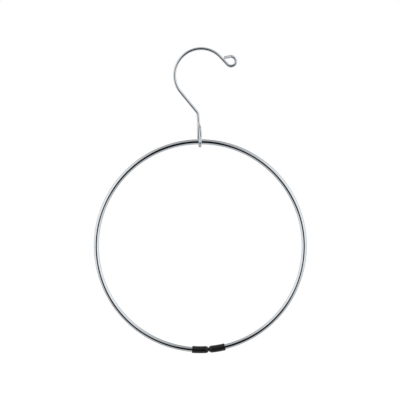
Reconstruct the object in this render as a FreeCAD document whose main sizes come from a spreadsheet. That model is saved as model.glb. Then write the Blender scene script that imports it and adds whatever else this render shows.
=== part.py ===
import FreeCAD, Part
import math
import os
import Sketcher
from FreeCAD import Placement, Rotation, Vector

# A ring hanger for scarves. A split ring of spring wire carries the scarves. Two push-on caps close
# its ends, and the eye of a thinner wire hook goes round its top.
#
# The origin is the centre of the hook's arc, where the axis of the largest closet rod would run.
# +X points right, +Y to the back and +Z up. Lengths are in millimetres and angles in degrees.

SIZES = {
    # Ring: its wire, how far its split is turned right of the lowest point, and its place in the eye
    "ring_outer_diameter": 203.2,
    "ring_wire_diameter": 4.76,
    "ring_turn_angle": 4.6,
    "ring_shift": 0.36,
    # End caps: a sleeve on the wire, and a dome that the other cap presses flat at the tip
    "cap_length": 15.8,
    "cap_wall": 1.0,
    "cap_tip_wall": 1.6,
    "cap_tip_flat_diameter": 3.2,
    "cap_gap": 0.02,
    # Hook wire: the arc that sits on the rod, with its reach forward and back from the top
    "hook_wire_diameter": 2.68,
    "hook_inner_diameter": 48.06,
    "hook_front_angle": 47.0,
    "hook_back_angle": 129.4,
    # Curl at the hook's tip: a flat turn, a closing turn that leans to the front, and a straight end
    "curl_lead_length": 9.8,
    "curl_inner_diameter": 6.4,
    "curl_turn_angle": 191.0,
    "curl_close_angle": 50.0,
    "curl_lean_angle": 22.0,
    "curl_mouth": 0.25,
    # Shank: the sharp bend under the slant, then a lean that a slack bend takes out
    "shank_bend_inner_radius": 2.0,
    "shank_lean_angle": 5.0,
    "shank_lean_length": 4.0,
    "shank_length": 13.5,
    "slack_bend_radius": 40.0,
    # Eye round the ring. The shank steps to the right and goes behind the ring, and the wire comes back
    # up in front of it and steps to the right again.
    "eye_offset": -1.16,
    "eye_clearance": 0.3,
    "eye_neck_inner_radius": 4.6,
    "eye_pitch": 0.4,
    "shank_step": 1.24,
    "leg_step": 0.45,
    "strand_gap": 3.0,
    # Leg: the short end in front, cut off at a slant, with the cut turned a little to the front
    "leg_lean_angle": 6.0,
    "leg_length": 7.2,
    "leg_cut_slant": 62.0,
    "leg_cut_tilt": 22.0,
    # How far a cut runs past what it cuts
    "overrun": 1.0,
}

# Sizes that several features share
RING_RADIUS = "((sizes.ring_outer_diameter - sizes.ring_wire_diameter) / 2)"
CAP_RADIUS = "(sizes.ring_wire_diameter / 2 + sizes.cap_wall)"
CAP_FLAT = "(sizes.cap_tip_flat_diameter / 2)"
CAP_DOME = f"sqrt({CAP_RADIUS} ^ 2 - {CAP_FLAT} ^ 2)"
CAP_SLEEVE = f"(sizes.cap_length - {CAP_DOME})"


def ring_arc(length):
    """The angle that a length takes along the ring's centre line."""
    return f"({length}) / {RING_RADIUS} * 180 deg / pi"


# From the middle of the split to where a cap's dome begins: the flats of the two domes face each other
# across the split, a gap apart.
DOME_ANGLE = f"asin(({CAP_DOME} + sizes.cap_gap / 2) / {RING_RADIUS})"
# From where the dome begins to the wire's end inside it
WIRE_END_ANGLE = f"({ring_arc(f'{CAP_DOME} - sizes.cap_tip_wall')})"


def make_sheet(doc):
    sheet = doc.addObject("Spreadsheet::Sheet", "sizes")
    for row, (name, size) in enumerate(SIZES.items(), start=1):
        sheet.set(f"A{row}", name)
        sheet.set(f"B{row}", str(size))
        sheet.setAlias(f"B{row}", name)
    doc.recompute()
    return sheet


def make_body(doc, label):
    body = doc.addObject("PartDesign::Body", label)
    body.Label = label
    return body


def make_sketch(body, name, role):
    """A sketch on one of the body's own origin planes."""
    plane = next(item for item in body.Origin.OriginFeatures if item.Role == role)
    sketch = body.newObject("Sketcher::SketchObject", name)
    sketch.AttachmentSupport = [(plane, "")]
    sketch.MapMode = "FlatFace"
    return sketch


def bind(sketch, name, constraint, expression):
    """Add a dimension to the sketch and tie it to the sheet."""
    index = sketch.addConstraint(constraint)
    sketch.renameConstraint(index, name)
    sketch.setExpression(f"Constraints.{name}", expression)


def ring_section(body, name, diameter):
    """A round section that stands on the ring's centre line."""
    sketch = make_sketch(body, name, "XY_Plane")
    circle = sketch.addGeometry(Part.Circle(Vector(1, 0, 0), Vector(0, 0, 1), 1))
    sketch.addConstraint(Sketcher.Constraint("PointOnObject", circle, 3, -1))
    bind(sketch, "ring_radius", Sketcher.Constraint("DistanceX", -1, 1, circle, 3, 1), RING_RADIUS)
    bind(sketch, "diameter", Sketcher.Constraint("Diameter", circle, 1), diameter)
    return sketch


def revolve(body, kind, name, sketch, axis, angle="360 deg", turned_back=False):
    feature = body.newObject(kind, name)
    feature.Profile = sketch
    feature.ReferenceAxis = (sketch, [axis])
    feature.setExpression("Angle", angle)
    feature.Reversed = turned_back
    return feature


def make_ring(doc):
    """The ring's wire, from one end inside its cap round to the other."""
    body = make_body(doc, "ring")
    section = ring_section(body, "ring_section", "sizes.ring_wire_diameter")
    hoop_angle = f"360 deg - 2 * ({DOME_ANGLE} - {WIRE_END_ANGLE})"
    revolve(body, "PartDesign::Revolution", "hoop", section, "V_Axis", hoop_angle)
    return body


def dome_profile(body, sizes, side):
    """A quarter of a disc, on the side of the section where the cap's tip is."""
    ring_radius = float(sizes.evalExpression(RING_RADIUS))
    cap_radius = float(sizes.evalExpression(CAP_RADIUS))
    middle = Vector(ring_radius, 0, 0)
    rim = Vector(ring_radius + cap_radius, 0, 0)
    tip = Vector(ring_radius, cap_radius * side, 0)
    bow = math.pi / 2 * side

    sketch = make_sketch(body, "dome_profile", "XZ_Plane")
    base = sketch.addGeometry(Part.LineSegment(middle, rim))
    circle = Part.Circle(middle, Vector(0, 0, 1), cap_radius)
    arc = sketch.addGeometry(Part.ArcOfCircle(circle, min(0, bow), max(0, bow)))
    spine = sketch.addGeometry(Part.LineSegment(tip, middle))
    axis = sketch.addGeometry(Part.LineSegment(middle, tip), True)
    rim_end, tip_end = (1, 2) if side > 0 else (2, 1)
    for constraint in (
        ("PointOnObject", base, 1, -1),
        ("Horizontal", base),
        ("Coincident", arc, 3, base, 1),
        ("Coincident", arc, rim_end, base, 2),
        ("Coincident", arc, tip_end, spine, 1),
        ("Coincident", spine, 2, base, 1),
        ("Vertical", spine),
        ("Coincident", axis, 1, base, 1),
        ("Coincident", axis, 2, spine, 1),
    ):
        sketch.addConstraint(Sketcher.Constraint(*constraint))
    bind(sketch, "ring_radius", Sketcher.Constraint("DistanceX", -1, 1, base, 1, ring_radius), RING_RADIUS)
    bind(sketch, "cap_radius", Sketcher.Constraint("Radius", arc, cap_radius), CAP_RADIUS)
    return sketch


def flatten_tip(body, sizes, side):
    """Cut the dome flat along the split, where the other cap presses on it."""
    outline = make_sketch(body, "tip_outline", "XZ_Plane")
    outline.setExpression("AttachmentOffset.Rotation.Angle", f"{side} * {DOME_ANGLE}")
    # How far each edge lies from the ring's axis, along the split or square to it
    edges = {
        "inner": f"{RING_RADIUS} - {CAP_RADIUS} - sizes.overrun",
        "flat": "sizes.cap_gap / 2",
        "outer": f"{RING_RADIUS} + {CAP_RADIUS} + sizes.overrun",
        "beyond": f"{CAP_RADIUS} - {CAP_DOME} + sizes.overrun",
    }
    reach = {edge: float(sizes.evalExpression(expression)) for edge, expression in edges.items()}
    flat = -reach["flat"] * side
    beyond = reach["beyond"] * side
    corners = [
        Vector(reach["inner"], beyond, 0),
        Vector(reach["inner"], flat, 0),
        Vector(reach["outer"], flat, 0),
        Vector(reach["outer"], beyond, 0),
    ]
    lines = [
        outline.addGeometry(Part.LineSegment(corner, after))
        for corner, after in zip(corners, corners[1:] + corners[:1])
    ]
    for line, after, direction in zip(lines, lines[1:] + lines[:1], ["Vertical", "Horizontal"] * 2):
        outline.addConstraint(Sketcher.Constraint("Coincident", line, 2, after, 1))
        outline.addConstraint(Sketcher.Constraint(direction, line))
    for line, (edge, expression) in zip(lines, edges.items()):
        bind(outline, edge, Sketcher.Constraint("Distance", -1, 1, line, reach[edge]), expression)
    tip = body.newObject("PartDesign::Pocket", "tip_flat")
    tip.Profile = outline
    tip.SideType = "Symmetric"
    tip.setExpression("Length", f"2 * ({CAP_RADIUS} + sizes.overrun)")


def make_cap(doc, sizes, label, side):
    """A cap on one end of the wire. Its tip points to the side, along the ring."""
    body = make_body(doc, label)
    turned_back = side < 0
    section = ring_section(body, "sleeve_section", f"2 * {CAP_RADIUS}")
    revolve(body, "PartDesign::Revolution", "sleeve", section, "V_Axis", ring_arc(CAP_SLEEVE), turned_back)
    revolve(body, "PartDesign::Revolution", "dome", dome_profile(body, sizes, side), "Axis0")
    flatten_tip(body, sizes, side)
    doc.recompute()

    # The bore runs from the wire's end, inside the dome, out through the rim.
    bore_section = ring_section(body, "bore_section", "sizes.ring_wire_diameter")
    mouth_angle = ring_arc(f"{CAP_SLEEVE} + sizes.overrun")
    bore = revolve(body, "PartDesign::Groove", "bore", bore_section, "V_Axis", mouth_angle, turned_back)
    bore.Type = "TwoAngles"
    bore.setExpression("Angle2", WIRE_END_ANGLE)
    return body


class BentWire:
    """The centre line of a wire, laid as straight runs and bends that follow on without a kink."""

    def __init__(self, start, heading):
        self.end = start
        self.heading = heading
        self.edges = []

    def run(self, length):
        start = self.end
        self.end = start + self.heading * length
        self.edges.append(Part.LineSegment(start, self.end).toShape())

    def bend(self, radius, angle, axis):
        """Turn the heading by an angle about an axis, on an arc of the radius."""
        start = self.end
        centre = start + axis.cross(self.heading) * radius
        middle = centre + Rotation(axis, angle / 2).multVec(start - centre)
        self.end = centre + Rotation(axis, angle).multVec(start - centre)
        self.heading = Rotation(axis, angle).multVec(self.heading)
        self.edges.append(Part.Arc(start, middle, self.end).toShape())

    def step(self, first_radius, second_radius, move):
        """Move square to the heading by two bends, of which the second takes out the turn of the first."""
        angle = math.degrees(math.acos(1 - move.Length / (first_radius + second_radius)))
        axis = self.heading.cross(move).normalize()
        self.bend(first_radius, angle, axis)
        self.bend(second_radius, angle, axis * -1)


# The axis of each bend in the hook's plane: left and right turns as seen from the front
TO_LEFT = Vector(0, -1, 0)
TO_RIGHT = Vector(0, 1, 0)


def hook_arc_radius(sizes):
    return (sizes.hook_inner_diameter + sizes.hook_wire_diameter) / 2


def ring_plane(sizes):
    """Where the ring hangs, in front of the hook's plane: midway between the shank and the leg."""
    return -(sizes.hook_wire_diameter + sizes.strand_gap) / 2


def lay_tip(sizes):
    """From the hook's top to its tip: the front of the arc, a straight lead, and the curl."""
    wire_radius = sizes.hook_wire_diameter / 2
    curl_radius = sizes.curl_inner_diameter / 2 + wire_radius
    tip = BentWire(Vector(0, 0, hook_arc_radius(sizes)), Vector(1, 0, 0))
    tip.bend(hook_arc_radius(sizes), sizes.hook_front_angle, TO_RIGHT)
    tip.run(sizes.curl_lead_length)
    lead_end = tip.end
    lead = tip.heading
    tip.bend(curl_radius, sizes.curl_turn_angle, TO_LEFT)
    closing_axis = Rotation(tip.heading, sizes.curl_lean_angle).multVec(TO_LEFT)
    tip.bend(curl_radius, sizes.curl_close_angle, closing_axis)
    # Seen from the front, the end runs back towards the lead, and stops short of it by the mouth.
    away = TO_LEFT.cross(lead)
    corner = wire_radius * (1 + abs(tip.heading.dot(lead)))
    room = (tip.end - lead_end).dot(away) - corner - sizes.curl_mouth
    tip.run(-room / tip.heading.dot(away))
    return tip


def lay_shank(sizes):
    """From the hook's top to the eye: the back of the arc, the slant, the sharp bend and the shank."""
    slant = math.radians(sizes.hook_back_angle - 90)
    lean = math.radians(sizes.shank_lean_angle)
    sharp_radius = sizes.shank_bend_inner_radius + sizes.hook_wire_diameter / 2
    slack_radius = sizes.slack_bend_radius
    shank_side = sizes.eye_offset - sizes.eye_pitch / 2 - sizes.shank_step

    shank = BentWire(Vector(0, 0, hook_arc_radius(sizes)), Vector(-1, 0, 0))
    shank.bend(hook_arc_radius(sizes), sizes.hook_back_angle, TO_LEFT)
    # The slant is as long as it takes to bring the shank to its side of the eye.
    bends_reach = sharp_radius * (math.cos(lean) - math.cos(slant)) + slack_radius * (1 - math.cos(lean))
    reach = shank_side - shank.end.x - bends_reach - sizes.shank_lean_length * math.sin(lean)
    shank.run(reach / math.sin(slant))
    shank.bend(sharp_radius, math.degrees(slant - lean), TO_RIGHT)
    shank.run(sizes.shank_lean_length)
    shank.bend(slack_radius, sizes.shank_lean_angle, TO_RIGHT)
    shank.run(sizes.shank_length)
    return shank


def lay_eye(sizes, wire):
    """On from the shank: back and under the ring's wire, up in front of it, and the leg.

    Returns where the ring's wire lies in the eye, and where the leg is cut.
    """
    wire_radius = sizes.hook_wire_diameter / 2
    wrap_radius = sizes.ring_wire_diameter / 2 + sizes.eye_clearance + wire_radius
    neck_radius = sizes.eye_neck_inner_radius + wire_radius
    step_back = wrap_radius + ring_plane(sizes)

    wire.step(neck_radius, wrap_radius, Vector(sizes.shank_step, step_back, 0))
    in_eye = Vector(sizes.eye_offset + sizes.ring_shift, ring_plane(sizes), wire.end.z)
    across = Vector(sizes.eye_pitch, -2 * wrap_radius, 0)
    wire.bend(across.Length / 2, 180, Vector(across.y, -across.x, 0).normalize())
    wire.step(wrap_radius, neck_radius, Vector(sizes.leg_step, step_back, 0))
    wire.bend(sizes.slack_bend_radius, sizes.leg_lean_angle, TO_LEFT)
    wire.run(sizes.leg_length)
    leg_cut = wire.end
    slant = math.radians(sizes.leg_cut_slant)
    tilt = math.radians(sizes.leg_cut_tilt)
    wire.run(wire_radius * (math.tan(slant) + math.tan(tilt) / math.cos(slant)) + sizes.overrun)
    return in_eye, leg_cut


def make_hook(doc, sizes):
    """The hook's wire, from the tip of the curl to the leg. Returns it, and the ring's place in its eye."""
    tip = lay_tip(sizes)
    shank = lay_shank(sizes)
    in_eye, leg_cut = lay_eye(sizes, shank)
    path = doc.addObject("Part::Feature", "hook_path")
    path.Shape = Part.Wire(Part.__sortEdges__(tip.edges + shank.edges))
    section = doc.addObject("Part::Circle", "hook_section")
    section.setExpression("Radius", "sizes.hook_wire_diameter / 2")
    section.Placement = Placement(tip.end, Rotation(Vector(0, 0, 1), tip.heading))
    wire = doc.addObject("Part::Sweep", "hook_wire")
    wire.Sections = [section]
    wire.Spine = (path, [f"Edge{number}" for number in range(1, len(path.Shape.Edges) + 1)])
    wire.Solid = True

    # The block that cuts the leg stays in front of the shank.
    block = doc.addObject("Part::Box", "leg_cut")
    block.setExpression("Length", "2 * (sizes.hook_wire_diameter / cos(sizes.leg_cut_slant) + sizes.overrun)")
    block.setExpression("Width", "sizes.hook_wire_diameter / cos(sizes.leg_cut_tilt) + 2 * sizes.overrun")
    block.setExpression("Height", "sizes.hook_wire_diameter + 2 * sizes.overrun")
    doc.recompute()
    slant = Rotation(Vector(0, 1, 0), sizes.leg_cut_slant)
    turn = slant * Rotation(Vector(1, 0, 0), sizes.leg_cut_tilt)
    middle = Vector(block.Length.Value / 2, block.Width.Value / 2, 0)
    block.Placement = Placement(leg_cut - turn.multVec(middle), turn)
    hook = doc.addObject("Part::Cut", "hook")
    hook.Base = wire
    hook.Tool = block
    return hook, in_eye


def hang(body, sizes, in_eye, angle):
    """Hang a piece of the ring in the eye, turned by an angle from the middle of the split."""
    centre = in_eye - Vector(0, 0, float(sizes.evalExpression(RING_RADIUS)))
    body.Placement = Placement(centre, Rotation(Vector(0, 1, 0), 90))
    body.setExpression("Placement.Rotation.Angle", f"90 deg - sizes.ring_turn_angle * 1 deg + {angle}")


def main():
    doc = FreeCAD.newDocument("scarf_hanger")
    sizes = make_sheet(doc)
    hook, in_eye = make_hook(doc, sizes)
    ring = make_ring(doc)
    left_cap = make_cap(doc, sizes, "end_cap_left", 1)
    right_cap = make_cap(doc, sizes, "end_cap_right", -1)
    hang(ring, sizes, in_eye, f"{DOME_ANGLE} - {WIRE_END_ANGLE}")
    hang(left_cap, sizes, in_eye, DOME_ANGLE)
    hang(right_cap, sizes, in_eye, f"-1 * {DOME_ANGLE}")
    doc.recompute()

    for item in doc.Objects:
        if "Invalid" in item.State or "Error" in item.State:
            raise RuntimeError(f"{item.Label} did not build")
    pieces = [hook, ring, left_cap, right_cap]
    for piece in pieces:
        if piece.Shape.isNull() or not piece.Shape.isValid():
            raise RuntimeError(f"{piece.Label} has no sound shape")
    os.makedirs("parts", exist_ok=True)
    for piece in pieces:
        piece.Shape.exportStep(f"parts/{piece.Label}.step")


main()
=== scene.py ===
"""A ring hanger for scarves: a split ring of chromed wire with two vinyl caps, in the eye of a wire hook.

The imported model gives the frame, in metres: +X right, +Y to the back, +Z up, with the origin at the
centre of the hook's arc. Each wire is swept along its own centre line, and each cap is turned round
the ring's centre line.
"""

import math

import bmesh
import bpy
from mathutils import Matrix, Vector


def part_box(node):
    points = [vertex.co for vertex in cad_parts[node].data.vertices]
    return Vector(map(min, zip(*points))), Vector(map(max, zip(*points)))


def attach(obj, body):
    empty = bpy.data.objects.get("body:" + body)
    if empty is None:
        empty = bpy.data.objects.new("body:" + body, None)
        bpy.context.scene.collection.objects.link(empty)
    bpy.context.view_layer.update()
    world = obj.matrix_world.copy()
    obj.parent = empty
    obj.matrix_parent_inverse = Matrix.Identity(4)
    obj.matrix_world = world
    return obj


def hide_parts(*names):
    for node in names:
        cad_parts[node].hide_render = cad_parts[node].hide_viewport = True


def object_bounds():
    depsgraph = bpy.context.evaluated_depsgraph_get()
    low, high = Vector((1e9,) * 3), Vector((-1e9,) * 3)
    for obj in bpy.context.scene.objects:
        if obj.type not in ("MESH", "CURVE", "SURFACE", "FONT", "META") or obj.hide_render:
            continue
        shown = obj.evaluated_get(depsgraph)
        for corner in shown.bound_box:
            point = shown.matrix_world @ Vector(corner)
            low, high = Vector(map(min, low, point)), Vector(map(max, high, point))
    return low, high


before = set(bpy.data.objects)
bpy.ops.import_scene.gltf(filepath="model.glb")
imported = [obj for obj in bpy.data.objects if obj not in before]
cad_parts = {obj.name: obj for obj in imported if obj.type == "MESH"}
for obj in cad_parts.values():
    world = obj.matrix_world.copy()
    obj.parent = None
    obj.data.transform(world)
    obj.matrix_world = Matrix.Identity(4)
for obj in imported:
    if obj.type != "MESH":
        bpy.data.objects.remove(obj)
cad_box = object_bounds()

MM = 0.001

# Ring, as the frame holds it
RING_LOW, RING_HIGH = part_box("ring")
RING_WIRE_RADIUS = (RING_HIGH.y - RING_LOW.y) / 2
RING_RADIUS = (RING_HIGH.x - RING_LOW.x) / 2 - RING_WIRE_RADIUS
RING_CENTRE = (RING_LOW + RING_HIGH) / 2
RING_CENTRE.z = RING_HIGH.z - RING_WIRE_RADIUS - RING_RADIUS
RING_TURN = math.radians(4.6)

# End caps
CAP_LENGTH = 15.8 * MM
CAP_WALL = 1.0 * MM
CAP_RADIUS = RING_WIRE_RADIUS + CAP_WALL
CAP_TIP_WALL = 1.6 * MM
CAP_FLAT_RADIUS = 1.6 * MM
CAP_RIM_ROUND = 0.2 * MM
CAP_GAP = 0.02 * MM
CAP_DOME = math.sqrt(CAP_RADIUS**2 - CAP_FLAT_RADIUS**2)
CAP_SLEEVE = CAP_LENGTH - CAP_DOME
DOME_ANGLE = math.asin((CAP_DOME + CAP_GAP / 2) / RING_RADIUS)
WIRE_END_ANGLE = DOME_ANGLE - (CAP_DOME - CAP_TIP_WALL) / RING_RADIUS

# Hook wire: the arc on the rod, the curl at its tip, the shank, the eye and the leg
HOOK_WIRE_RADIUS = 1.34 * MM
HOOK_INNER_RADIUS = 24.03 * MM
HOOK_ARC_RADIUS = HOOK_INNER_RADIUS + HOOK_WIRE_RADIUS
HOOK_FRONT_ANGLE = math.radians(47.0)
HOOK_BACK_ANGLE = math.radians(129.4)
CURL_LEAD = 9.8 * MM
CURL_INNER_RADIUS = 3.2 * MM
CURL_RADIUS = CURL_INNER_RADIUS + HOOK_WIRE_RADIUS
CURL_TURN = math.radians(191.0)
CURL_CLOSE = math.radians(50.0)
CURL_LEAN = math.radians(22.0)
CURL_MOUTH = 0.25 * MM
SHARP_BEND_INNER_RADIUS = 2.0 * MM
SHARP_BEND_RADIUS = SHARP_BEND_INNER_RADIUS + HOOK_WIRE_RADIUS
SHANK_LEAN = math.radians(5.0)
SHANK_LEAN_LENGTH = 4.0 * MM
SHANK_LENGTH = 13.5 * MM
SLACK_BEND_RADIUS = 40.0 * MM
EYE_OFFSET = -1.16 * MM
EYE_CLEARANCE = 0.3 * MM
EYE_NECK_INNER_RADIUS = 4.6 * MM
EYE_NECK_RADIUS = EYE_NECK_INNER_RADIUS + HOOK_WIRE_RADIUS
EYE_PITCH = 0.4 * MM
SHANK_STEP = 1.24 * MM
LEG_STEP = 0.45 * MM
LEG_LEAN = math.radians(6.0)
LEG_LENGTH = 7.2 * MM
LEG_CUT_SLANT = math.radians(62.0)
LEG_CUT_TILT = math.radians(22.0)

# How finely the wires and caps are drawn
RUN_STEP = 2.0 * MM
BEND_STEP = math.radians(3.0)
RING_STEP = math.radians(1.0)
HOOK_SIDES = 32
RING_SIDES = 40
CAP_SIDES = 48
CUT_EDGE_ROUND = 0.12 * MM
SHARP_EDGE_ANGLE = math.radians(40.0)

# Photograph: its size in pixels, the real size of one, and where the origin lies in it
PHOTO_SIZE = 400
PIXEL = 0.9552 * MM
ORIGIN_PIXEL = (201.13, 75.18)

# Camera, in millimetres
LENS = 300.0
SENSOR_WIDTH = 36.0

# The part of its range that a noise really fills
NOISE_RANGE = (0.3, 0.7)

# Bright plate: drawing lines, haze, and its colours where it is bright and where it is hazed
PLATE_LINES = {"size": 0.35 * MM, "stretch": 60, "detail": 3}
PLATE_LINE_BUMP = {"strength": 0.12, "depth": 0.02 * MM}
PLATE_HAZE = {"size": 6.0 * MM, "stretch": 2, "detail": 4}
PLATE_ROUGHNESS = (0.03, 0.07)
RING_PLATE_COLOURS = ((0.80, 0.825, 0.85), (0.72, 0.755, 0.79))
HOOK_PLATE_COLOURS = ((0.735, 0.76, 0.80), (0.655, 0.69, 0.73))

# Plate on the cut ends, with the blade's marks
CUT_MARKS = {"size": 0.25 * MM, "stretch": 4, "detail": 5}
CUT_BUMP = {"strength": 0.4, "depth": 0.05 * MM}
CUT_ROUGHNESS = (0.25, 0.45)
CUT_COLOURS = ((0.68, 0.65, 0.62), (0.5, 0.46, 0.43))

# Black vinyl: dimples, scuffs, and its colours between the scuffs and on them
VINYL_DIMPLES = {"size": 0.3 * MM, "stretch": 1, "detail": 2}
VINYL_BUMP = {"strength": 0.15, "depth": 0.03 * MM}
VINYL_SCUFFS = {"size": 1.2 * MM, "stretch": 6, "detail": 5}
VINYL_ROUGHNESS = (0.22, 0.34)
VINYL_SHINE = 0.5
VINYL_COLOURS = ((0.005, 0.005, 0.0055), (0.011, 0.011, 0.012))

# Floor, in metres, and how far it is lifted towards white for the camera
WHITE = (1.0, 1.0, 1.0)
FLOOR_DROP = 45.0 * MM
FLOOR_HALF = 6.0
FLOOR_COLOUR = (0.9, 0.9, 0.9)
FLOOR_ROUGHNESS = 0.9
FLOOR_LIFT = 0.12

# Studio round the metal: its grey level at each share of the height from straight below to straight above
SKY_SHARES = (
    (0.0, 0.64),
    (0.22, 0.62),
    (0.4, 0.92),
    (0.5, 1.0),
    (0.75, 1.04),
    (0.88, 0.86),
    (0.95, 0.6),
    (1.0, 0.48),
)
SKY_TINT = (0.985, 1.0, 1.01)
BEHIND_RANGE = (0.2, 0.85)
BEHIND_LEVEL = 0.4
EVEN_LIGHT = (0.75, 0.75, 0.75)

# Dark screens round the camera, by the across and up parts of the directions that they cover
BROAD_SCREEN = {"centre": (-0.055, -0.48), "half": (0.49, 0.605), "spread": 1.0}
NARROW_SCREEN = {"centre": (-0.07, 0.1), "half": (0.18, 0.47), "spread": 0.0}
SCREEN_EDGE_SHARES = (0.8, 1.15)
SCREEN_COLOUR = (0.002, 0.003, 0.005)
FRONT_RANGE = (-0.63, -0.45)

# Lamp
LAMP_STRENGTH = 0.9
LAMP_BREADTH = math.radians(35.0)
LAMP_TURN = (math.radians(-25.0), math.radians(8.0), 0.0)


class BentWire:
    """The centre line of a wire as stations, each a point and a heading, along runs and bends."""

    def __init__(self, start, heading):
        self.stations = [(Vector(start), Vector(heading))]

    def run(self, length):
        start, heading = self.stations[-1]
        steps = math.ceil(length / RUN_STEP)
        for step in range(1, steps + 1):
            self.stations.append((start + heading * (length * step / steps), heading))

    def bend(self, radius, angle, axis):
        """Turn the heading by an angle about an axis, on an arc of the radius."""
        start, heading = self.stations[-1]
        centre = start + axis.cross(heading) * radius
        steps = math.ceil(angle / BEND_STEP)
        for step in range(1, steps + 1):
            turn = Matrix.Rotation(angle * step / steps, 3, axis)
            self.stations.append((centre + turn @ (start - centre), turn @ heading))

    def step(self, first_radius, second_radius, move):
        """Move square to the heading by two bends, of which the second takes out the turn of the first."""
        angle = math.acos(1 - move.length / (first_radius + second_radius))
        axis = self.stations[-1][1].cross(move).normalized()
        self.bend(first_radius, angle, axis)
        self.bend(second_radius, angle, -axis)

    def backwards(self):
        return [(point, -heading) for point, heading in reversed(self.stations)]


# The axis of each bend in the hook's plane: left and right turns as seen from the front
TO_LEFT = Vector((0, -1, 0))
TO_RIGHT = Vector((0, 1, 0))


def lay_tip():
    """From the hook's top to its tip: the front of the arc, a straight lead, and the curl."""
    tip = BentWire((0, 0, HOOK_ARC_RADIUS), (1, 0, 0))
    tip.bend(HOOK_ARC_RADIUS, HOOK_FRONT_ANGLE, TO_RIGHT)
    tip.run(CURL_LEAD)
    lead_end, lead = tip.stations[-1]
    tip.bend(CURL_RADIUS, CURL_TURN, TO_LEFT)
    closing_axis = Matrix.Rotation(CURL_LEAN, 3, tip.stations[-1][1]) @ TO_LEFT
    tip.bend(CURL_RADIUS, CURL_CLOSE, closing_axis)
    curl_end, closing = tip.stations[-1]
    away = TO_LEFT.cross(lead)
    corner = HOOK_WIRE_RADIUS * (1 + abs(closing.dot(lead)))
    room = (curl_end - lead_end).dot(away) - corner - CURL_MOUTH
    tip.run(-room / closing.dot(away))
    return tip


def lay_shank():
    """From the hook's top to the eye: the back of the arc, the slant, the sharp bend and the shank."""
    slant = HOOK_BACK_ANGLE - math.pi / 2
    shank = BentWire((0, 0, HOOK_ARC_RADIUS), (-1, 0, 0))
    shank.bend(HOOK_ARC_RADIUS, HOOK_BACK_ANGLE, TO_LEFT)
    sharp_reach = SHARP_BEND_RADIUS * (math.cos(SHANK_LEAN) - math.cos(slant))
    slack_reach = SLACK_BEND_RADIUS * (1 - math.cos(SHANK_LEAN))
    lean_reach = SHANK_LEAN_LENGTH * math.sin(SHANK_LEAN)
    reach = EYE_OFFSET - EYE_PITCH / 2 - SHANK_STEP - shank.stations[-1][0].x
    shank.run((reach - sharp_reach - slack_reach - lean_reach) / math.sin(slant))
    shank.bend(SHARP_BEND_RADIUS, slant - SHANK_LEAN, TO_RIGHT)
    shank.run(SHANK_LEAN_LENGTH)
    shank.bend(SLACK_BEND_RADIUS, SHANK_LEAN, TO_RIGHT)
    shank.run(SHANK_LENGTH)
    return shank


def lay_eye(wire):
    """On from the shank: back and under the ring's wire, up in front of it, and the leg to its cut."""
    wrap_radius = RING_WIRE_RADIUS + EYE_CLEARANCE + HOOK_WIRE_RADIUS
    step_back = wrap_radius + RING_CENTRE.y
    wire.step(EYE_NECK_RADIUS, wrap_radius, Vector((SHANK_STEP, step_back, 0)))
    across = Vector((EYE_PITCH, -2 * wrap_radius, 0))
    wire.bend(across.length / 2, math.pi, Vector((across.y, -across.x, 0)).normalized())
    wire.step(wrap_radius, EYE_NECK_RADIUS, Vector((LEG_STEP, step_back, 0)))
    wire.bend(SLACK_BEND_RADIUS, LEG_LEAN, TO_LEFT)
    wire.run(LEG_LENGTH)


def section_frames(stations):
    """Two directions across the wire at each station, carried along it without a twist."""
    heading = stations[0][1]
    back = Vector((0, 1, 0))
    across = (back - back.project(heading)).normalized()
    frames = []
    for _, next_heading in stations:
        across = heading.rotation_difference(next_heading) @ across
        heading = next_heading
        frames.append((across.copy(), heading.cross(across)))
    return frames


class Skin:
    """A mesh skinned over rings of points, with the piece's own straight coordinates kept on it.

    The straight coordinates are those of the piece before it was bent: two across it and one along it.
    """

    def __init__(self, sides):
        self.sides = sides
        self.mesh = bmesh.new()
        self.straight = self.mesh.verts.layers.float_vector.new("straight")
        self.last_ring = None

    def vertex(self, place, straight):
        vertex = self.mesh.verts.new(place)
        vertex[self.straight] = straight
        return vertex

    def ring(self, centre, across, up, radius, along, shift=None):
        """The next ring. A shift moves each point along the wire by what it gives for its offset."""
        ring = []
        for side in range(self.sides):
            angle = 2 * math.pi * side / self.sides
            offset = across * (radius * math.cos(angle)) + up * (radius * math.sin(angle))
            place = centre + offset
            if shift:
                place = place + shift(offset)
            ring.append(self.vertex(place, (radius * math.cos(angle), radius * math.sin(angle), along)))
        if self.last_ring:
            for side in range(self.sides):
                after = (side + 1) % self.sides
                self.mesh.faces.new((self.last_ring[side], self.last_ring[after], ring[after], ring[side]))
        self.last_ring = ring

    def close(self, centre, along, first=False, material=0):
        """A fan from a ring to a point on its axis. The first one comes before any ring is joined."""
        middle = self.vertex(centre, (0, 0, along))
        for side in range(self.sides):
            after = (side + 1) % self.sides
            corners = [self.last_ring[side], self.last_ring[after], middle]
            if first:
                corners.reverse()
            self.mesh.faces.new(corners).material_index = material

    def finish(self, name, materials):
        """The piece, smooth but for its sharp edges."""
        bmesh.ops.recalc_face_normals(self.mesh, faces=self.mesh.faces)
        data = bpy.data.meshes.new(name)
        self.mesh.to_mesh(data)
        self.mesh.free()
        data.shade_smooth()
        data.set_sharp_from_angle(angle=SHARP_EDGE_ANGLE)
        for material in materials:
            data.materials.append(material)
        piece = bpy.data.objects.new(name, data)
        bpy.context.scene.collection.objects.link(piece)
        return piece


def cut_shift(heading, normal):
    """How a point of a ring moves along the wire to lie on a cut with that normal."""
    return lambda offset: heading * (-offset.dot(normal) / heading.dot(normal))


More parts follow.
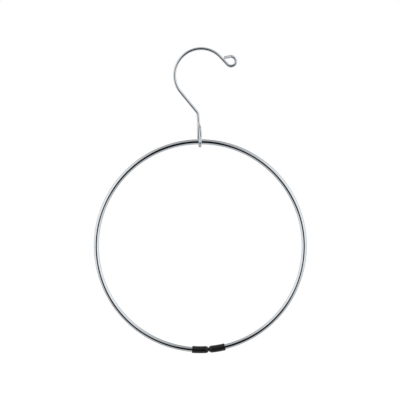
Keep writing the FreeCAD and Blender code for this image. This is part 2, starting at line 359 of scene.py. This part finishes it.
def sweep_wire(name, stations, radius, sides, materials, end_normal=None):
    """A round wire along its stations, with cut ends whose edges are softened."""
    skin = Skin(sides)
    frames = section_frames(stations)
    inner = radius - CUT_EDGE_ROUND
    end_point, end_heading = stations[-1]
    slope = cut_shift(end_heading, end_normal or end_heading)
    slope_reach = max(slope(direction * radius).length for direction in frames[-1])
    start_point, start_heading = stations[0]

    along = 0.0
    skin.ring(start_point, *frames[0], inner, along)
    skin.close(start_point, along, first=True, material=1)
    for inset in (CUT_EDGE_ROUND, 2 * CUT_EDGE_ROUND):
        skin.ring(start_point + start_heading * inset, *frames[0], radius, inset)
    before = start_point
    for (point, _), (across, up) in zip(stations[1:-1], frames[1:-1]):
        along += (point - before).length
        before = point
        if (end_point - point).length > slope_reach + RUN_STEP / 4:
            skin.ring(point, across, up, radius, along)
    along += (end_point - before).length
    for inset in (2 * CUT_EDGE_ROUND, CUT_EDGE_ROUND):
        skin.ring(end_point - end_heading * inset, *frames[-1], radius, along - inset, slope)
    skin.ring(end_point, *frames[-1], inner, along, slope)
    skin.close(end_point, along, material=1)
    return skin.finish(name, materials)


def make_hook(materials):
    tip = lay_tip()
    shank = lay_shank()
    lay_eye(shank)
    stations = tip.backwards() + shank.stations[1:]
    cut_turn = Matrix.Rotation(LEG_CUT_SLANT, 3, "Y") @ Matrix.Rotation(LEG_CUT_TILT, 3, "X")
    cut_normal = cut_turn @ Vector((0, 0, 1))
    return sweep_wire("hook_wire", stations, HOOK_WIRE_RADIUS, HOOK_SIDES, materials, cut_normal)


def ring_station(angle):
    """A place on the ring's centre line, by its angle from the split, counted to the left."""
    direction = RING_TURN - angle
    point = RING_CENTRE + Vector((math.sin(direction), 0, -math.cos(direction))) * RING_RADIUS
    return point, Vector((-math.cos(direction), 0, -math.sin(direction)))


def make_ring(materials):
    span = 2 * math.pi - 2 * WIRE_END_ANGLE
    steps = math.ceil(span / RING_STEP)
    stations = [ring_station(WIRE_END_ANGLE + span * step / steps) for step in range(steps + 1)]
    return sweep_wire("ring_wire", stations, RING_WIRE_RADIUS, RING_SIDES, materials)


def cap_profile():
    """Each ring of a cap as its place along the cap, from the dome's base to the rim, and its radius."""
    bore_end = CAP_TIP_WALL - CAP_DOME
    bore_steps = 8
    round_steps = 5
    sleeve_steps = 16
    dome_steps = 14
    bow = math.atan2(CAP_DOME, CAP_FLAT_RADIUS)

    yield bore_end, RING_WIRE_RADIUS / 2
    for step in range(bore_steps + 1):
        yield bore_end + (CAP_SLEEVE - bore_end) * step / bore_steps, RING_WIRE_RADIUS
    for step in range(round_steps + 1):
        angle = math.pi / 2 * step / round_steps
        lip = CAP_RIM_ROUND
        yield CAP_SLEEVE - lip * (1 - math.cos(angle)), CAP_RADIUS - lip * (1 - math.sin(angle))
    for step in range(1, sleeve_steps + 1):
        yield (CAP_SLEEVE - CAP_RIM_ROUND) * (1 - step / sleeve_steps), CAP_RADIUS
    for step in range(1, dome_steps + 1):
        angle = bow * step / dome_steps
        yield -CAP_RADIUS * math.sin(angle), CAP_RADIUS * math.cos(angle)
    yield -CAP_DOME, CAP_FLAT_RADIUS / 2


def make_cap(name, side, materials):
    """A cap on one end of the wire: side 1 lies left of the split, side -1 right of it."""

    def place(along):
        """On the sleeve the cap follows the ring, and its dome turns to face the split squarely."""
        if along >= 0:
            return ring_station(side * (DOME_ANGLE + along / RING_RADIUS))
        base, _ = ring_station(side * DOME_ANGLE)
        _, heading = ring_station(side * DOME_ANGLE * (1 + along / CAP_DOME))
        return base + heading * (side * along), heading

    skin = Skin(CAP_SIDES)
    back = Vector((0, 1, 0))
    for along, radius in cap_profile():
        point, heading = place(along)
        fresh = skin.last_ring is None
        skin.ring(point, back, heading.cross(back), radius, along)
        if fresh:
            skin.close(point, along, first=True)
    skin.close(place(along)[0], along)
    return skin.finish(name, materials)


def set_inputs(tree, node, inputs):
    """Give each named input of a node a link from a socket, or a plain value."""
    for name, value in inputs.items():
        if isinstance(value, bpy.types.NodeSocket):
            tree.links.new(value, node.inputs[name])
        else:
            node.inputs[name].default_value = value


def add_node(tree, kind, inputs=None, **settings):
    node = tree.nodes.new(kind)
    for name, value in settings.items():
        setattr(node, name, value)
    set_inputs(tree, node, inputs or {})
    return node


def calculate(tree, operation, *values):
    """The result of one operation on sockets and plain numbers."""
    return add_node(tree, "ShaderNodeMath", dict(enumerate(values)), operation=operation).outputs["Value"]


def change_range(tree, value, source, target, interpolation="LINEAR"):
    """A value carried from one range, given by its two ends, to another."""
    ends = {"From Min": source[0], "From Max": source[1], "To Min": target[0], "To Max": target[1]}
    node = add_node(tree, "ShaderNodeMapRange", {"Value": value, **ends}, interpolation_type=interpolation)
    return node.outputs["Result"]


def mix(tree, factor, first, second, **settings):
    """Two colours mixed by a factor. Each colour is a socket or three levels."""
    inputs = {"Factor": factor}
    for name, colour in (("A", first), ("B", second)):
        inputs[name] = colour if isinstance(colour, bpy.types.NodeSocket) else (*colour, 1)
    return add_node(tree, "ShaderNodeMix", inputs, data_type="RGBA", **settings).outputs["Result"]


def new_material(name):
    material = bpy.data.materials.new(name)
    material.use_nodes = True
    return material, material.node_tree, material.node_tree.nodes["Principled BSDF"]


def straight_noise(tree, size, stretch, detail):
    """Noise of a size in metres, stretched along the piece as it was before it was bent."""
    straight = add_node(tree, "ShaderNodeAttribute", attribute_name="straight")
    scaled = add_node(
        tree,
        "ShaderNodeMapping",
        {"Vector": straight.outputs["Vector"], "Scale": (1 / size, 1 / size, 1 / (size * stretch))},
    )
    noise = add_node(
        tree,
        "ShaderNodeTexNoise",
        {"Vector": scaled.outputs["Vector"], "Scale": 1.0, "Detail": detail},
    )
    return noise.outputs["Fac"]


def patches(tree, noise, colours):
    """Two colours in patches that follow a noise."""
    return mix(tree, change_range(tree, noise, NOISE_RANGE, (0.0, 1.0)), *colours)


def bump(tree, height, strength, depth):
    node = add_node(tree, "ShaderNodeBump", {"Height": height, "Strength": strength, "Distance": depth})
    return node.outputs["Normal"]


def chrome(name, colours):
    """Bright plate over drawn wire: faint lines along it, and a slight haze in patches."""
    material, tree, shader = new_material(name)
    lines = straight_noise(tree, **PLATE_LINES)
    haze = straight_noise(tree, **PLATE_HAZE)
    look = {
        "Metallic": 1.0,
        "Base Color": patches(tree, haze, colours),
        "Roughness": change_range(tree, haze, NOISE_RANGE, PLATE_ROUGHNESS),
        "Normal": bump(tree, lines, **PLATE_LINE_BUMP),
    }
    set_inputs(tree, shader, look)
    return material


def cut_plate():
    """Thin plate where the wire was sheared: duller and a little brown, over the blade's marks."""
    material, tree, shader = new_material("cut_plate")
    marks = straight_noise(tree, **CUT_MARKS)
    look = {
        "Metallic": 1.0,
        "Base Color": patches(tree, marks, CUT_COLOURS),
        "Roughness": change_range(tree, marks, NOISE_RANGE, CUT_ROUGHNESS),
        "Normal": bump(tree, marks, **CUT_BUMP),
    }
    set_inputs(tree, shader, look)
    return material


def vinyl():
    """Soft black vinyl: satin, with a faint dimpled skin and paler scuffs."""
    material, tree, shader = new_material("black_vinyl")
    dimples = straight_noise(tree, **VINYL_DIMPLES)
    scuffs = straight_noise(tree, **VINYL_SCUFFS)
    look = {
        "Base Color": patches(tree, scuffs, VINYL_COLOURS),
        "Roughness": change_range(tree, scuffs, NOISE_RANGE, VINYL_ROUGHNESS),
        "Specular IOR Level": VINYL_SHINE,
        "Normal": bump(tree, dimples, **VINYL_BUMP),
    }
    set_inputs(tree, shader, look)
    return material


def dress(piece, body, node):
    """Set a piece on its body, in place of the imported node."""
    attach(piece, body)
    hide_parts(node)


def build_hanger():
    ends = cut_plate()
    ring_plate = chrome("ring_chrome_plate", RING_PLATE_COLOURS)
    hook_plate = chrome("hook_chrome_plate", HOOK_PLATE_COLOURS)
    dress(make_ring([ring_plate, ends]), "ring", "ring")
    dress(make_hook([hook_plate, ends]), "hook", "hook")
    skin = vinyl()
    dress(make_cap("cap_left", 1, [skin]), "ring", "end_cap_left")
    dress(make_cap("cap_right", -1, [skin]), "ring", "end_cap_right")


def floor_white():
    """Matt white that is lifted a little for the camera alone."""
    material, tree, shader = new_material("floor_white")
    path = add_node(tree, "ShaderNodeLightPath")
    look = {
        "Base Color": (*FLOOR_COLOUR, 1),
        "Roughness": FLOOR_ROUGHNESS,
        "Specular IOR Level": 0.0,
        "Emission Color": (*WHITE, 1),
        "Emission Strength": calculate(tree, "MULTIPLY", path.outputs["Is Camera Ray"], FLOOR_LIFT),
    }
    set_inputs(tree, shader, look)
    return material


def build_floor():
    """A pale floor under the hanging object. It shows white and keeps the shadow."""
    level = cad_box[0].z - FLOOR_DROP
    corners = [(x * FLOOR_HALF, y * FLOOR_HALF, level) for x, y in ((-1, -1), (1, -1), (1, 1), (-1, 1))]
    data = bpy.data.meshes.new("floor")
    data.from_pydata(corners, [], [(0, 1, 2, 3)])
    data.materials.append(floor_white())
    floor = bpy.data.objects.new("floor", data)
    floor.visible_glossy = False
    bpy.context.scene.collection.objects.link(floor)


def side_sheets(tree, direction):
    """White sheets at both sides, and grey above and below, by a direction's height seen from the front."""
    flat = add_node(tree, "ShaderNodeVectorMath", {0: direction, 1: (1, 0, 1)}, operation="MULTIPLY")
    around = add_node(tree, "ShaderNodeVectorMath", {0: flat.outputs["Vector"]}, operation="NORMALIZE")
    parts = add_node(tree, "ShaderNodeSeparateXYZ", {"Vector": around.outputs["Vector"]})
    height = change_range(tree, parts.outputs["Z"], (-1.0, 1.0), (0.0, 1.0))
    sky = add_node(tree, "ShaderNodeValToRGB", {"Fac": height})
    stops = sky.color_ramp.elements
    first_stops = list(stops)
    for number, (share, level) in enumerate(SKY_SHARES):
        stop = first_stops[number] if number < len(first_stops) else stops.new(share)
        stop.position = share
        stop.color = (*(level * tint for tint in SKY_TINT), 1)
    return sky.outputs["Color"]


def soft_screen(tree, across, up, centre, half, spread):
    """1 on a screen and 0 off it, with soft edges. With a spread the screen is wider lower down."""
    sideways = calculate(tree, "ABSOLUTE", calculate(tree, "SUBTRACT", across, centre[0]))
    upright = calculate(tree, "ABSOLUTE", calculate(tree, "SUBTRACT", up, centre[1]))
    half_width = calculate(tree, "MULTIPLY_ADD", up, -spread * half[0], half[0])
    edges = []
    for distance, reach in ((sideways, half_width), (upright, half[1])):
        share = calculate(tree, "DIVIDE", distance, reach)
        edges.append(change_range(tree, share, SCREEN_EDGE_SHARES, (1.0, 0.0), "SMOOTHSTEP"))
    return calculate(tree, "MULTIPLY", *edges)


def build_studio():
    """White for the camera. The metal sees dark screens in front, white at both sides and grey behind."""
    world = bpy.data.worlds.new("studio")
    bpy.context.scene.world = world
    world.use_nodes = True
    tree = world.node_tree

    direction = add_node(tree, "ShaderNodeTexCoord").outputs["Generated"]
    parts = add_node(tree, "ShaderNodeSeparateXYZ", {"Vector": direction})
    across, away, up = parts.outputs

    # Greyer behind, which draws the metal's edges on the white
    behind = change_range(tree, away, BEHIND_RANGE, (1.0, BEHIND_LEVEL))
    sheets = mix(tree, 1.0, side_sheets(tree, direction), behind, blend_type="MULTIPLY")

    # Dark round the camera: broad below it, narrow above
    broad = soft_screen(tree, across, up, **BROAD_SCREEN)
    narrow = soft_screen(tree, across, up, **NARROW_SCREEN)
    front = change_range(tree, away, FRONT_RANGE, (1.0, 0.0))
    dark = calculate(tree, "MULTIPLY", calculate(tree, "MAXIMUM", broad, narrow), front)
    mirrored = mix(tree, dark, sheets, SCREEN_COLOUR)

    # Even light on what is matt, and plain white for the camera
    path = add_node(tree, "ShaderNodeLightPath")
    lighting = mix(tree, path.outputs["Is Diffuse Ray"], mirrored, EVEN_LIGHT)
    seen = mix(tree, path.outputs["Is Camera Ray"], lighting, WHITE)
    set_inputs(tree, tree.nodes["Background"], {"Color": seen, "Strength": 1.0})


def build_lamp():
    """A broad soft lamp above and a little behind, whose shadow falls to the front."""
    data = bpy.data.lights.new("overhead", "SUN")
    data.energy = LAMP_STRENGTH
    data.angle = LAMP_BREADTH
    lamp = bpy.data.objects.new("overhead", data)
    lamp.rotation_euler = LAMP_TURN
    lamp.visible_glossy = False
    bpy.context.scene.collection.objects.link(lamp)


def build_camera():
    """Straight in front, far off, with the photograph's frame at the hook's plane."""
    data = bpy.data.cameras.new("camera")
    data.lens = LENS
    data.sensor_width = SENSOR_WIDTH
    camera = bpy.data.objects.new("camera", data)
    distance = PHOTO_SIZE * PIXEL * LENS / SENSOR_WIDTH
    right = (PHOTO_SIZE / 2 - ORIGIN_PIXEL[0]) * PIXEL
    up = (ORIGIN_PIXEL[1] - PHOTO_SIZE / 2) * PIXEL
    camera.location = (right, -distance, up)
    camera.rotation_euler = (math.pi / 2, 0, 0)
    bpy.context.scene.collection.objects.link(camera)
    bpy.context.scene.camera = camera


build_hanger()
build_floor()
build_studio()
build_lamp()
build_camera()
bpy.context.scene.view_settings.view_transform = "Standard"
